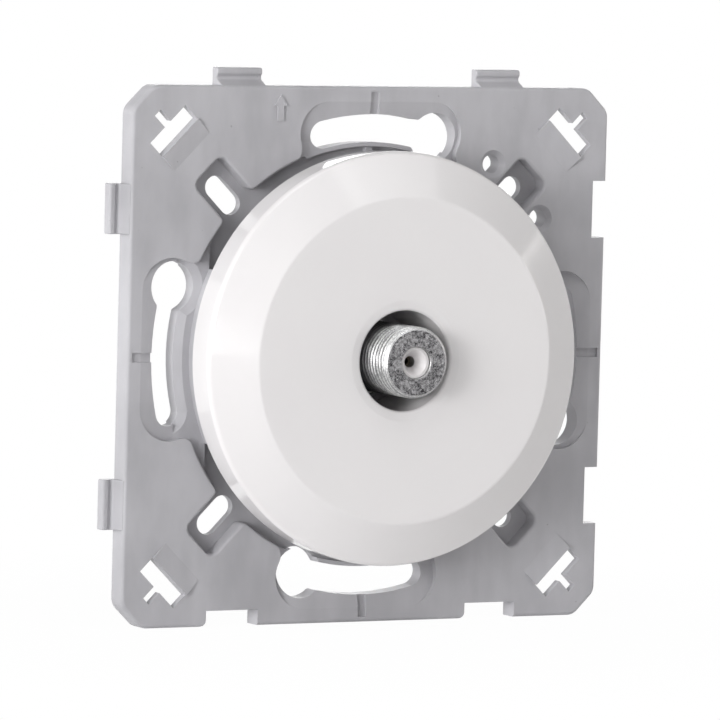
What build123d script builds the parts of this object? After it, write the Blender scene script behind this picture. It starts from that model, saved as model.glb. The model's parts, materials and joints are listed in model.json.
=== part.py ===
from build123d import *
import os
from math import atan2, cos, degrees, hypot, isclose, radians, sin, sqrt

os.makedirs("parts", exist_ok=True)

# An aerial socket for a round wall box. X runs to the right and Z upwards as seen from the room.
# Depths are Y values: 0 is the wall plane, minus is towards the room, plus is inside the wall box.

# Clearances
seat_gap = 0.1        # between pieces that are screwed or pushed face to face
slip_gap = 0.05       # radial, of a screw in its thread or a pin in its hole
fit_gap = 0.15        # beside pieces that snap or drop into place

# Support frame: plate
plate_side = 71.0
plate_cut = 3.1       # of each corner, along both of its edges
plate_corner = 2.0    # rounds off both ends of the cut
plate_face = -3.0
plate_skin = 1.2
rim_wall = 1.5
edge_round = 0.5
mouth_round = 0.4     # on the front edges of the opening and its recesses
rib_width = 1.0
rib_angle = 17.0      # ribs stand this far each side of the diagonals

# Support frame: linking tabs on the top and left edges, notches on the other two
link_offset = 19.3
tab_width = 6.6
tab_reach = 2.3
tab_bead = 1.45       # height of the bead above the tab's back
tab_bead_width = 0.8
tab_bead_round = 0.38
tab_groove = 0.85     # height left under the groove between bead and plate
tab_groove_out = 0.95 # from the plate's edge to the middle of the groove
tab_root = 2.75       # height of the tab at the plate's edge
notch_width = 7.6
notch_depth = 2.1
notch_wall = 1.0
notch_round = 0.9     # on the left corner of each bottom notch
tab_end_round = 0.2

# Support frame: round opening with a sunk floor
floor_face = -0.6
floor_thickness = 1.2
opening_wall = 1.2
ledge_width = 4.6     # of the side ledges, at their widest
ledge_face = -2.0
ledge_skin = 1.2
ledge_wall = 1.0
hub_hole_r = 5.6
nib_width = 0.9
nib_length = 1.3
nib_height = 1.0

# Support frame: keyhole slots for the box screws
screw_inset = 5.5     # from the circle of the box screws to the plate's edge
slot_gap = 0.15       # between a slot and the round opening
arc_width = 3.7
arc_end_angle = 14.0
keyhole_r = 3.35
keyhole_angle = 17.7
keyhole_shift = 0.2   # of the keyholes, outwards from the circle of the box screws
keyhole_corner = 0.5  # where a keyhole opens into its slot
slot_bevel_width = 1.1  # of the bevel on the inner side of the slots in the ledges
slot_bevel_depth = 0.6
slot_rim = 0.4        # of the wall between a slot and the sunk floor
pocket_reach = 1.65   # of the pockets beyond the slots
pocket_overlap = 3.1  # of the pockets over the opening
pocket_start = -13.0
pocket_end = 11.0
pocket_corner = 2.0
pocket_wall = 0.9

# Support frame: short slots on the diagonals
diagonal_width = 3.0
diagonal_overlap = 1.3  # of the slot over the opening
diagonal_length = 6.05
recess_width = 5.6
recess_margin = 1.85  # beyond the slot's outer end
recess_corner = 1.2
recess_mouth = 0.8
recess_wall = 1.0

# Support frame: small mouthed holes in the top right corner
pilot_r = 1.25
pilot_mouth_r = 1.9
pilot_margin = 3.05   # from the opening to the middle of a small hole
pilot_angle = 9.55
pilot_wall = 1.1
mouth_taper = 44.0

# Support frame: corner slots for claws, with a raised wedge beside each
claw_slot_length = 7.0
claw_slot_width = 2.4
claw_margin = 5.0     # from the slot to the plate's corner
claw_stem_width = 1.2
claw_stem_length = 2.1
wedge_length = 2.7
wedge_height = 0.5

# Support frame: centre-line grooves and the arrow
groove_width = 1.25
groove_depth = 0.35
groove_margin = 0.7   # from the groove to the plate's edge
arrow_x = -14.05
arrow_margin = 1.2    # from its tip to the plate's edge
arrow_length = 3.4
arrow_head_width = 1.95
arrow_head_length = 1.4
arrow_shaft_width = 0.9
arrow_height = 0.25

# Cover
cover_gap = 0.8       # between the opening and the cover's back edge
cover_draft = 0.15
bevel_width = 5.85
cover_back = -5.4
cover_edge = -10.15
cover_face = -13.4
cover_skin = 1.8
skirt_wall = 1.0
cover_hole_r = 6.62
collar_wall = 1.6
collar_back = -1.6
cover_edge_round = 0.8
cover_flat_round = 0.7
cover_hole_round = 0.35
dish_width = 1.35     # of the shallow dish round the hole
dish_depth = 0.18
spigot_wall = 1.2
spigot_height = 4.2
leg_width = 5.0
leg_thickness = 1.4
leg_centre = 19.8
barb_depth = 0.8
barb_length = 1.5

# Jack housing: one casting with the threaded barrel
barrel_r = 4.72
barrel_end = -16.4
barrel_chamfer = 0.5
barrel_root_r = 5.3
barrel_root = -1.4
bore_r = 2.08
housing_width = 28.0
housing_height = 24.0
housing_corner = 2.0
housing_wall = 1.6
housing_front_wall = 2.2
housing_depth = 15.5
ear_reach = 6.2
ear_height = 9.0
ear_thickness = 3.4
board_space = 2.4     # free depth between the front wall and the board
board_ledge = 1.6
ledge_corner = 4.0
peg_r = 0.8
peg_inset = 1.35
peg_height = 0.7

# Jack housing: cable way and trough
cable_r = 3.45
cable_axis = 10.4
trough_length = 8.4
trough_split = 0.35   # half the gap between trough and saddle
trough_wall = 1.4

# Screws
m3_r = 1.5
m3_head_r = 2.75
m3_head_height = 1.8
m25_r = 1.25
m25_head_r = 2.1
m25_head_height = 1.4
drive_span = 1.3      # of the head's radius
drive_width = 0.7
drive_depth = 0.9
hole_play = 0.15      # radial, in a plain screw hole
housing_screw_length = 6.0
saddle_screw_length = 8.0

# Insulator and centre contact
insulator_recess = 0.4
funnel_r = 1.7
funnel_depth = 1.6
pin_hole_r = 0.75
pin_hole_length = 1.2
insulator_flange_r = 3.2
insulator_flange = 0.8
contact_r = 1.0
contact_bore_r = 0.5
contact_tine_length = 8.0
contact_slit = 0.35
tail_r = 0.45
tail_reach = 1.3

# Circuit board and what stands on it
board_thickness = 1.2
terminal_width = 6.0
terminal_length = 7.0
terminal_foot = 1.0   # lower end of the terminal above the middle of the board
terminal_wall = 1.2
terminal_gap = 3.2
terminal_roof = 1.4
wire_space = 1.2
plate_thickness = 0.7
plate_margin = 0.4
terminal_travel = 1.2
part_inset = 4.2      # from the cavity's side to the middle of the loose components
capacitor_r = 2.3
capacitor_thickness = 2.0
lead_r = 0.3
lead_pitch = 2.5
stand_off = 0.9
core_r = 2.9
core_hole_r = 1.35
core_thickness = 2.6
core_drop = 5.8       # middle of the core and the choke above the cavity's lower end
wire_r = 0.25
turns = 5
turn_step = 30.0      # degrees from one turn to the next
resistor_r = 0.95
resistor_length = 3.8
resistor_end_r = 1.1
resistor_pitch = 6.4
upper_drop = 5.9      # middle of the capacitor and the resistor below the cavity's upper end
choke_r = 1.7
choke_length = 4.4

# Shield lid
lid_thickness = 0.9
lid_flange = 2.8
hinge_inset = 0.4     # hinge axis in front of the housing's back edge
hinge_lift = 2.3      # hinge axis above the housing
knuckle_r = 1.9
hinge_pin_r = 1.0
lug_width = 3.0
lug_inner = 7.3
knuckle_width = 3.4
knuckle_gap = 0.3

# Cable saddle
saddle_thickness = 1.3
saddle_length = 6.6
saddle_lift = 1.4     # its top edge below the housing

# Places worked out from the sizes above
screw_circle_r = plate_side / 2 - screw_inset
slot_inner_r = screw_circle_r - arc_width / 2
opening_r = slot_inner_r - slot_gap
ledge_x = opening_r - ledge_width
keyhole_circle_r = screw_circle_r + keyhole_shift
pocket_outer = screw_circle_r + arc_width / 2 + pocket_reach
pocket_width = pocket_outer - opening_r + pocket_overlap
pocket_slope = (ledge_face - plate_face) / (pocket_outer - slot_inner_r)
diagonal_inner = opening_r - diagonal_overlap
diagonal_outer = diagonal_inner + diagonal_length
recess_outer = diagonal_outer + recess_margin
pilot_circle_r = opening_r + pilot_margin
claw_slot_outer = (plate_side - plate_cut) / sqrt(2) - claw_margin
groove_end = plate_side / 2 - groove_margin
arrow_tip = plate_side / 2 - arrow_margin
arrow_foot = arrow_tip - arrow_length
cover_back_r = opening_r - cover_gap
cover_edge_r = cover_back_r + cover_draft
cover_flat_r = cover_edge_r - bevel_width
floor_back = floor_face + floor_thickness
housing_front = floor_back + seat_gap
housing_back = housing_front + housing_depth
front_wall_back = housing_front + housing_front_wall
board_front = front_wall_back + board_space + seat_gap
board_back = board_front + board_thickness
cavity_width = housing_width - 2 * housing_wall
cavity_height = housing_height - 2 * housing_wall
ear_x = housing_width / 2 + ear_reach / 2
part_x = cavity_width / 2 - part_inset
core_z = choke_z = core_drop - cavity_height / 2
capacitor_z = resistor_z = cavity_height / 2 - upper_drop
housing_bottom = -housing_height / 2
skirt_inner_r = cover_back_r - skirt_wall
spigot_r = skirt_inner_r - fit_gap
trough_front = cable_axis - cable_r - trough_wall
trough_back = cable_axis - trough_split
trough_bottom = housing_bottom - trough_length
saddle_seat = cable_axis + trough_split
saddle_screw_x = cable_r + saddle_thickness + m25_head_r + hole_play
trough_width = 2 * (saddle_screw_x + m25_head_r + hole_play)
saddle_z = housing_bottom - saddle_lift - saddle_length / 2
hinge_y = housing_back - hinge_inset
hinge_z = housing_height / 2 + hinge_lift
lid_front = housing_back + seat_gap
lid_back = lid_front + lid_thickness
window_z = leg_centre + barb_depth / 2


def at_depth(y):
    """Plane across the socket at this depth; its normal points into the room."""
    return Plane.XZ.offset(-y)


def across(x):
    """Plane that cuts the socket from front to back, with Y and Z as its axes."""
    return Plane.YZ.offset(x)


def level(z):
    """Horizontal plane at this height, with X and Y as its axes."""
    return Plane.XY.offset(z)


def spoke(angle):
    """Plane along a spoke of the frame: x outwards from the middle, y towards the room."""
    outward = Vector(cos(radians(angle)), 0, sin(radians(angle)))
    return Plane(origin=(0, 0, 0), x_dir=outward, z_dir=outward.cross(Vector(0, -1, 0)))


def plate_outline(inset):
    """Square with its corners cut and rounded, this far inside the plate's edge."""
    side = plate_side - 2 * inset
    square = Rectangle(side, side, mode=Mode.PRIVATE)
    cut = chamfer(square.vertices(), plate_cut - inset * (2 - sqrt(2)))
    return fillet(cut.vertices(), plate_corner - inset)


def pocket_shapes(grow):
    """Long round-ended pockets around the four keyhole slots."""
    middle = (pocket_outer - pocket_width / 2, (pocket_start + pocket_end) / 2)
    with PolarLocations(0, 4):
        with Locations(middle):
            SlotOverall(pocket_end - pocket_start + 2 * grow, pocket_width + 2 * grow, rotation=90)


def recess_shapes(grow):
    """Recesses around the diagonal slots, from inside the opening to their rounded ends."""
    inner = opening_r - recess_width / 2
    with PolarLocations((inner + recess_outer + grow) / 2, 4, 45):
        RectangleRounded(recess_outer + grow - inner, recess_width + 2 * grow, recess_corner)


def pilot_places():
    """Where the two small holes sit, either side of the top right diagonal."""
    angles = [radians(45 + side * pilot_angle) for side in (-1, 1)]
    return [(pilot_circle_r * cos(a), pilot_circle_r * sin(a)) for a in angles]


def keyhole_places():
    """Centres of the four keyholes, each at the clockwise end of its slot."""
    angles = [radians(quarter - keyhole_angle) for quarter in (0, 90, 180, 270)]
    return [(keyhole_circle_r * cos(a), keyhole_circle_r * sin(a)) for a in angles]


def meets_keyhole(vertex):
    """Whether this corner of the slots' outline lies on the circle of a keyhole."""
    return any(isclose(hypot(vertex.X - x, vertex.Y - z), keyhole_r, abs_tol=1e-3)
               for x, z in keyhole_places())


def link_places():
    """Centres of the two links on an edge, measured from its middle."""
    return (-link_offset, link_offset)


def link_seats():
    """Planes of the linking tabs: x out of the plate's edge, y towards the room from its back."""
    half = plate_side / 2
    top = [Plane(origin=(along, 0, half), x_dir=(0, 0, 1), z_dir=(1, 0, 0)) for along in link_places()]
    left = [Plane(origin=(-half, 0, along), x_dir=(-1, 0, 0), z_dir=(0, 0, 1)) for along in link_places()]
    return top + left


# Linking tab: a bead along its outer end, a groove behind that, and a root that rises to the plate
with BuildPart() as link_tab:
    with BuildSketch(Plane.XY) as tab_section:
        with BuildLine():
            Polyline((-rim_wall, 0), (tab_reach, 0), (tab_reach, tab_bead), (tab_reach - tab_bead_width, tab_bead),
                     (tab_groove_out, tab_groove), (0, tab_root), (-rim_wall, tab_root), close=True)
        make_face()
        soft = [v for v in tab_section.vertices() if v.X > 0 and v.Y > 0]
        fillet(soft, tab_bead_round)
    extrude(amount=tab_width / 2, both=True)
    ends = link_tab.faces().filter_by(Axis.Z)
    fillet([e for e in ends.edges() if e.center().X > tab_groove_out], tab_end_round)


# Outlines of the plate and of the hollow inside its rim
plate_shape = plate_outline(0)
hollow_shape = plate_outline(rim_wall)

# Middle lines of the keyhole slots
slot_runs = [CenterArc((0, 0), screw_circle_r, quarter - keyhole_angle, keyhole_angle + arc_end_angle)
             for quarter in (0, 90, 180, 270)]


# Bevel of the left and right slots, on the flat ledges only: straight along the inner side of the
# slot, and conical round its keyhole and its end
with BuildPart() as slot_bevel:
    with BuildSketch(Plane.XY):
        with BuildLine():
            Polyline((slot_inner_r - slot_bevel_width, ledge_face), (slot_inner_r, ledge_face + slot_bevel_depth),
                     (screw_circle_r, ledge_face + slot_bevel_depth), (screw_circle_r, ledge_face), close=True)
        make_face()
    revolve(axis=Axis.Y)
    end_z = screw_circle_r * sin(radians(arc_end_angle))
    keyhole_z = keyhole_circle_r * sin(radians(keyhole_angle))
    with BuildSketch(at_depth(ledge_face)):
        with Locations((screw_circle_r, (end_z - keyhole_z) / 2), (-screw_circle_r, (keyhole_z - end_z) / 2)):
            Rectangle(screw_circle_r, keyhole_z + end_z)
    extrude(amount=-slot_bevel_depth, mode=Mode.INTERSECT)
    with BuildSketch(at_depth(ledge_face)):
        with Locations(*keyhole_places()[::2]):
            Circle(keyhole_r + slot_bevel_width)
        end_x = screw_circle_r * cos(radians(arc_end_angle))
        with Locations((end_x, end_z), (-end_x, -end_z)):
            Circle(arc_width / 2 + slot_bevel_width)
    extrude(amount=-slot_bevel_depth, taper=degrees(atan2(slot_bevel_width, slot_bevel_depth)))
    with BuildSketch(at_depth(ledge_face)):
        Rectangle(2 * slot_inner_r, plate_side)
    extrude(amount=-slot_bevel_depth, mode=Mode.INTERSECT)


# What the opening and its pockets take out of the plate: the floor of a pocket slopes from the
# plate's face at its outer side down to the height of the ledges at the opening
with BuildPart() as mouth_cut:
    with BuildSketch(at_depth(ledge_face)) as mouth:
        Circle(opening_r)
        pocket_shapes(0)
        meeting = [v for v in mouth.vertices() if isclose(hypot(v.X, v.Y), opening_r, abs_tol=1e-3)]
        fillet(meeting, pocket_corner)
    extrude(amount=ledge_face - plate_face)
    for angle in (0, 90, 180, 270):
        with BuildSketch(spoke(angle)):
            with BuildLine():
                Polyline((slot_inner_r, -ledge_face), (pocket_outer, -plate_face), (pocket_outer, -ledge_face),
                         close=True)
            make_face()
        extrude(amount=opening_r, both=True, mode=Mode.SUBTRACT)


# Support frame
with BuildPart() as support_frame:
    # Plate with softened front edges, and the floor that reaches just behind it
    with BuildSketch(at_depth(0)):
        add(plate_shape)
    extrude(amount=-plate_face)
    fillet(support_frame.faces().sort_by(Axis.Y)[0].edges(), edge_round)
    with BuildSketch(at_depth(floor_back)):
        Circle(opening_r + opening_wall)
        recess_shapes(recess_wall)
    extrude(amount=floor_back)

    # Hollow back: walls are left round the rim, the pockets, the recesses and the small holes
    with BuildSketch(at_depth(floor_back)):
        add(hollow_shape)
        for along in link_places():
            with Locations((plate_side / 2, along), (along, -plate_side / 2)):
                notch = notch_width + 2 * notch_wall
                Rectangle(notch, notch, mode=Mode.SUBTRACT)
        with Locations(*pilot_places()):
            Circle(pilot_mouth_r + pilot_wall, mode=Mode.SUBTRACT)
        with PolarLocations(opening_r, 4, 45 - rib_angle):
            Rectangle(plate_side, rib_width, mode=Mode.SUBTRACT)
        with PolarLocations(opening_r, 4, 45 + rib_angle):
            Rectangle(plate_side, rib_width, mode=Mode.SUBTRACT)
        with BuildSketch(mode=Mode.SUBTRACT):
            Circle(opening_r + opening_wall)
            pocket_shapes(pocket_wall)
            recess_shapes(recess_wall)
    extrude(amount=floor_back - plate_face - plate_skin, mode=Mode.SUBTRACT)

    # Round opening with the deeper recesses, then the pockets, then what stands in the opening as
    # high as the pockets' inner sides: the side ledges and a rim along the inner side of each slot
    with BuildSketch(at_depth(floor_face)) as well:
        Circle(opening_r)
        recess_shapes(0)
        meeting = [v for v in well.vertices() if isclose(hypot(v.X, v.Y), opening_r, abs_tol=1e-3)]
        fillet([v for v in meeting if abs(v.X) < ledge_x and abs(v.Y) > keyhole_r], recess_mouth)
    extrude(amount=floor_face - plate_face, mode=Mode.SUBTRACT)
    fillet(support_frame.faces().sort_by(Axis.Y)[0].inner_wires()[0].edges(), mouth_round)
    add(mouth_cut.part, mode=Mode.SUBTRACT)
    with BuildSketch(at_depth(ledge_face)):
        Circle(opening_r)
        Circle(opening_r - slot_rim, mode=Mode.SUBTRACT)
        with BuildSketch(mode=Mode.INTERSECT):
            pocket_shapes(0)
    extrude(amount=ledge_face - floor_face)
    with BuildSketch(at_depth(ledge_face)):
        Circle(opening_r)
        Rectangle(2 * ledge_x, 2 * opening_r, mode=Mode.SUBTRACT)
    extrude(amount=ledge_face - floor_face)

    # Keyhole slots through the pockets and the ledges
    with BuildSketch(at_depth(floor_back)) as slots:
        for run in slot_runs:
            SlotArc(run, arc_width)
        with Locations(*keyhole_places()):
            Circle(keyhole_r)
        fillet([v for v in slots.vertices() if meets_keyhole(v)], keyhole_corner)
    extrude(amount=floor_back - plate_face, mode=Mode.SUBTRACT)
    add(slot_bevel.part, mode=Mode.SUBTRACT)

    # Hollow behind each side ledge
    with BuildSketch(at_depth(floor_back)):
        Circle(opening_r - ledge_wall)
        Rectangle(2 * (ledge_x + ledge_wall), 2 * opening_r, mode=Mode.SUBTRACT)
        with Locations(*keyhole_places()):
            Circle(keyhole_r + ledge_wall, mode=Mode.SUBTRACT)
    extrude(amount=floor_back - ledge_face - ledge_skin, mode=Mode.SUBTRACT)

    # Diagonal slots and the holes in the floor
    with BuildSketch(at_depth(floor_back)):
        with PolarLocations((diagonal_inner + diagonal_outer) / 2, 4, 45):
            SlotOverall(diagonal_length, diagonal_width)
        with Locations((-ear_x, 0), (ear_x, 0)):
            Circle(m3_r + hole_play)
        with Locations((0, -window_z), (0, window_z)):
            Rectangle(leg_width + 2 * fit_gap, leg_thickness + barb_depth + 4 * fit_gap)
        Circle(hub_hole_r)
    extrude(amount=floor_back - plate_face, mode=Mode.SUBTRACT)

    # Small holes with a rounded mouth
    with BuildSketch(at_depth(floor_back)):
        with Locations(*pilot_places()):
            Circle(pilot_r)
    extrude(amount=floor_back - plate_face, mode=Mode.SUBTRACT)
    mouth_depth = pilot_mouth_r - pilot_r
    with BuildSketch(at_depth(plate_face)):
        with Locations(*pilot_places()):
            Circle(pilot_mouth_r)
    extrude(amount=-mouth_depth, taper=mouth_taper, mode=Mode.SUBTRACT)

    # Corner slots with their stems, and the wedge along the inner side of each
    claw_inner = claw_slot_outer - claw_slot_width
    with BuildSketch(at_depth(floor_back)):
        with PolarLocations(claw_slot_outer - claw_slot_width / 2, 4, 45):
            Rectangle(claw_slot_width, claw_slot_length)
        with PolarLocations(claw_slot_outer, 4, 45):
            Rectangle(2 * claw_stem_length, claw_stem_width)
    extrude(amount=floor_back - plate_face, mode=Mode.SUBTRACT)
    for angle in (45, 135, 225, 315):
        with BuildSketch(spoke(angle)):
            with BuildLine():
                Polyline((claw_inner - wedge_length, -plate_face), (claw_inner, -plate_face + wedge_height),
                         (claw_inner, -plate_face - plate_skin / 2),
                         (claw_inner - wedge_length, -plate_face - plate_skin / 2), close=True)
            make_face()
        extrude(amount=claw_slot_length / 2, both=True)

    # Centre-line grooves, which follow the slope of the pockets into the slots
    groove_face = -plate_face - groove_depth
    for angle in (0, 90, 180, 270):
        with BuildSketch(spoke(angle)):
            with BuildLine():
                Polyline((groove_end, groove_face), (pocket_outer, groove_face),
                         (screw_circle_r, groove_face - pocket_slope * (pocket_outer - screw_circle_r)),
                         (screw_circle_r, -plate_face), (groove_end, -plate_face), close=True)
            make_face()
        extrude(amount=groove_width / 2, both=True, mode=Mode.SUBTRACT)

    # Raised arrow that shows which way up the plate goes
    with BuildSketch(at_depth(plate_face)):
        with BuildLine():
            neck = arrow_tip - arrow_head_length
            half_head, half_shaft = arrow_head_width / 2, arrow_shaft_width / 2
            Polyline((arrow_x, arrow_tip), (arrow_x + half_head, neck), (arrow_x + half_shaft, neck),
                     (arrow_x + half_shaft, arrow_foot), (arrow_x - half_shaft, arrow_foot),
                     (arrow_x - half_shaft, neck), (arrow_x - half_head, neck), close=True)
        make_face()
    extrude(amount=arrow_height)

    # Notches on the right and bottom edges, beaded tabs on the top and left ones
    with BuildSketch(at_depth(0)):
        for along in link_places():
            with Locations((plate_side / 2, along)):
                Rectangle(2 * notch_depth, notch_width)
            with Locations((along, -plate_side / 2)):
                Rectangle(notch_width, 2 * notch_depth)
            left, bottom = along - notch_width / 2, -plate_side / 2
            with Locations((left - notch_round / 2, bottom + notch_round / 2)):
                Rectangle(notch_round, notch_round)
            with Locations((left - notch_round, bottom + notch_round)):
                Circle(notch_round, mode=Mode.SUBTRACT)
    extrude(amount=-plate_face, mode=Mode.SUBTRACT)
    with Locations(*[seat.location for seat in link_seats()]):
        add(link_tab.part)

    # Curved spigots on the ledges, which centre the cover, and the two nibs of the floor
    with BuildSketch(at_depth(ledge_face)):
        Circle(spigot_r)
        Circle(spigot_r - spigot_wall, mode=Mode.SUBTRACT)
        Rectangle(2 * ledge_x, 2 * spigot_r, mode=Mode.SUBTRACT)
    extrude(amount=spigot_height)
    with BuildSketch(at_depth(floor_face)):
        nib_z = opening_r - nib_length / 2
        with Locations((0, nib_z), (0, -nib_z)):
            Rectangle(nib_width, nib_length)
    extrude(amount=nib_height)
support_frame.part.label = "support_frame"


# Cover: a turned shell with a collar round the jack and two snap legs
with BuildPart() as cover:
    with BuildSketch(Plane.XY):
        with BuildLine():
            collar_r = cover_hole_r + collar_wall
            under = cover_face + cover_skin
            Polyline((cover_back_r, cover_back), (cover_edge_r, cover_edge), (cover_flat_r, cover_face),
                     (cover_hole_r + dish_width, cover_face), (cover_hole_r, cover_face + dish_depth),
                     (cover_hole_r, collar_back), (collar_r, collar_back),
                     (collar_r, under), (cover_flat_r - skirt_wall, under),
                     (skirt_inner_r, cover_edge + skirt_wall), (skirt_inner_r, cover_back), close=True)
        make_face()
    revolve(axis=Axis.Y)
    rings = cover.edges().filter_by(GeomType.CIRCLE)
    fillet([e for e in rings if isclose(e.radius, cover_edge_r, abs_tol=1e-3)], cover_edge_round)
    rings = cover.edges().filter_by(GeomType.CIRCLE)
    fillet([e for e in rings if isclose(e.radius, cover_flat_r, abs_tol=1e-3)], cover_flat_round)
    rings = cover.edges().filter_by(GeomType.CIRCLE).sort_by(Axis.Y)
    fillet([e for e in rings if isclose(e.radius, cover_hole_r, abs_tol=1e-3)][:1], cover_hole_round)
    for side in (-1, 1):
        with BuildSketch(across(0)):
            with BuildLine():
                outer, inner = leg_centre + leg_thickness / 2, leg_centre - leg_thickness / 2
                hook = floor_back + seat_gap
                Polyline((under - seat_gap, side * inner), (under - seat_gap, side * outer),
                         (hook, side * outer), (hook, side * (outer + barb_depth)),
                         (hook + barb_length, side * outer), (hook + barb_length, side * inner), close=True)
            make_face()
        extrude(amount=leg_width / 2, both=True)
cover.part.label = "cover"


# Jack housing: box with an open back, the barrel in front, ears at the sides, a trough below
with BuildPart() as jack_housing:
    with BuildSketch(at_depth(housing_back)):
        RectangleRounded(housing_width, housing_height, housing_corner)
    extrude(amount=housing_depth)
    with BuildSketch(at_depth(housing_front + ear_thickness)):
        RectangleRounded(housing_width + 2 * ear_reach, ear_height, housing_corner)
    extrude(amount=ear_thickness)

    # Barrel, standing on a wider root
    with BuildSketch(Plane.XY):
        with BuildLine():
            Polyline((0, front_wall_back), (0, barrel_end), (barrel_r - barrel_chamfer, barrel_end),
                     (barrel_r, barrel_end + barrel_chamfer), (barrel_r, barrel_root),
                     (barrel_root_r, barrel_root), (barrel_root_r, front_wall_back), close=True)
        make_face()
    revolve(axis=Axis.Y)

    # Cavity, with a step that carries the board and two pegs through it
    with BuildSketch(at_depth(housing_back)):
        RectangleRounded(cavity_width, cavity_height, housing_corner / 2)
    extrude(amount=housing_back - board_front + seat_gap, mode=Mode.SUBTRACT)
    with BuildSketch(at_depth(board_front)):
        RectangleRounded(cavity_width - 2 * board_ledge, cavity_height - 2 * board_ledge, ledge_corner)
    extrude(amount=board_front - front_wall_back, mode=Mode.SUBTRACT)
    peg_x, peg_z = cavity_width / 2 - peg_inset, cavity_height / 2 - peg_inset
    with BuildSketch(at_depth(board_back + peg_height)):
        with Locations((-peg_x, peg_z), (peg_x, -peg_z)):
            Circle(peg_r)
    extrude(amount=peg_height + board_back - board_front + 2 * seat_gap)

    # Trough for the cable, below the box, and the way from it into the cavity
    with BuildSketch(at_depth(trough_back)):
        with Locations((0, housing_bottom - trough_length / 2 + housing_wall / 2)):
            RectangleRounded(trough_width, trough_length + housing_wall, housing_corner / 2)
    extrude(amount=trough_back - trough_front)
    with BuildSketch(level(trough_bottom)):
        with Locations((0, cable_axis)):
            Circle(cable_r)
    extrude(amount=trough_length + housing_wall + housing_corner, mode=Mode.SUBTRACT)
    with BuildSketch(at_depth(housing_back)):
        with Locations((0, housing_bottom)):
            Rectangle(2 * cable_r, 2 * housing_wall + housing_corner)
    extrude(amount=housing_back - cable_axis, mode=Mode.SUBTRACT)

    # Lugs of the lid hinge
    for side in (-1, 1):
        with BuildSketch(across(side * (lug_inner + lug_width / 2))):
            with BuildLine():
                Polyline((hinge_y - knuckle_r, housing_height / 2 - housing_wall / 2),
                         (housing_back, housing_height / 2 - housing_wall / 2),
                         (housing_back, housing_height / 2), (hinge_y + knuckle_r, hinge_z),
                         (hinge_y - knuckle_r, hinge_z), close=True)
            make_face()
            with Locations((hinge_y, hinge_z)):
                Circle(knuckle_r)
        extrude(amount=lug_width / 2, both=True)
    with BuildSketch(across(0)):
        with Locations((hinge_y, hinge_z)):
            Circle(hinge_pin_r + slip_gap)
    extrude(amount=housing_width / 2, both=True, mode=Mode.SUBTRACT)

    # Bore and threaded holes
    with BuildSketch(at_depth(board_front)):
        Circle(bore_r)
    extrude(amount=board_front - barrel_end, mode=Mode.SUBTRACT)
    with BuildSketch(at_depth(housing_front + ear_thickness)):
        with Locations((-ear_x, 0), (ear_x, 0)):
            Circle(m3_r + slip_gap)
    extrude(amount=ear_thickness, mode=Mode.SUBTRACT)
    with BuildSketch(at_depth(trough_back)):
        with Locations((-saddle_screw_x, saddle_z), (saddle_screw_x, saddle_z)):
            Circle(m25_r + slip_gap)
    extrude(amount=trough_back - trough_front, mode=Mode.SUBTRACT)
jack_housing.part.label = "jack_housing"


# Insulator: a plastic rod with a funnel in front and a flange behind
insulator_front = barrel_end + insulator_recess
with BuildPart() as insulator:
    with BuildSketch(Plane.XY):
        with BuildLine():
            funnel_end = insulator_front + funnel_depth
            sleeve_start = funnel_end + pin_hole_length
            sleeve_r = contact_r + slip_gap
            rod_r = bore_r - slip_gap
            flange_front = front_wall_back + seat_gap
            flange_back = flange_front + insulator_flange
            Polyline((funnel_r, insulator_front), (rod_r, insulator_front), (rod_r, flange_front),
                     (insulator_flange_r, flange_front), (insulator_flange_r, flange_back),
                     (sleeve_r, flange_back), (sleeve_r, sleeve_start), (pin_hole_r, sleeve_start),
                     (pin_hole_r, funnel_end), close=True)
        make_face()
    revolve(axis=Axis.Y)
insulator.part.label = "insulator"


# Centre contact: a turned pin, bored and slit in front, with a tail through the board
with BuildPart() as centre_contact:
    contact_front = sleeve_start + seat_gap
    contact_back = board_front - seat_gap
    with BuildSketch(Plane.XY):
        with BuildLine():
            Polyline((0, contact_front + contact_tine_length), (contact_bore_r, contact_front + contact_tine_length),
                     (contact_bore_r, contact_front), (contact_r, contact_front), (contact_r, contact_back),
                     (tail_r, contact_back), (tail_r, board_back + tail_reach), (0, board_back + tail_reach),
                     close=True)
        make_face()
    revolve(axis=Axis.Y)
    with BuildSketch(at_depth(contact_front)):
        Rectangle(contact_slit, 2 * contact_r)
    extrude(amount=-contact_tine_length, mode=Mode.SUBTRACT)
centre_contact.part.label = "centre_contact"


def pan_screw(seat, direction, shank_r, head_r, head_height, length):
    """Cross-slotted screw: its head stands on the plane seat, its shank runs the other way."""
    with BuildPart() as screw:
        with BuildSketch(seat):
            Circle(head_r)
        extrude(amount=direction * head_height)
        crown = screw.faces().sort_by(Axis.Y)[-1 if direction < 0 else 0]
        fillet(crown.edges(), head_height / 3)
        with BuildSketch(seat):
            Circle(shank_r)
        extrude(amount=-direction * length)
        with BuildSketch(seat.offset(direction * head_height)):
            Rectangle(drive_width, drive_span * head_r)
            Rectangle(drive_span * head_r, drive_width)
        extrude(amount=-direction * drive_depth, mode=Mode.SUBTRACT)
    return screw.part


# Two screws from the front hold the housing against the floor of the frame
head_seat = at_depth(floor_face - seat_gap)
housing_screw = pan_screw(head_seat, 1, m3_r, m3_head_r, m3_head_height, housing_screw_length)
with BuildPart() as housing_screws:
    with Locations((-ear_x, 0, 0), (ear_x, 0, 0)):
        add(housing_screw)
housing_screws.part.label = "housing_screws"


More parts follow.
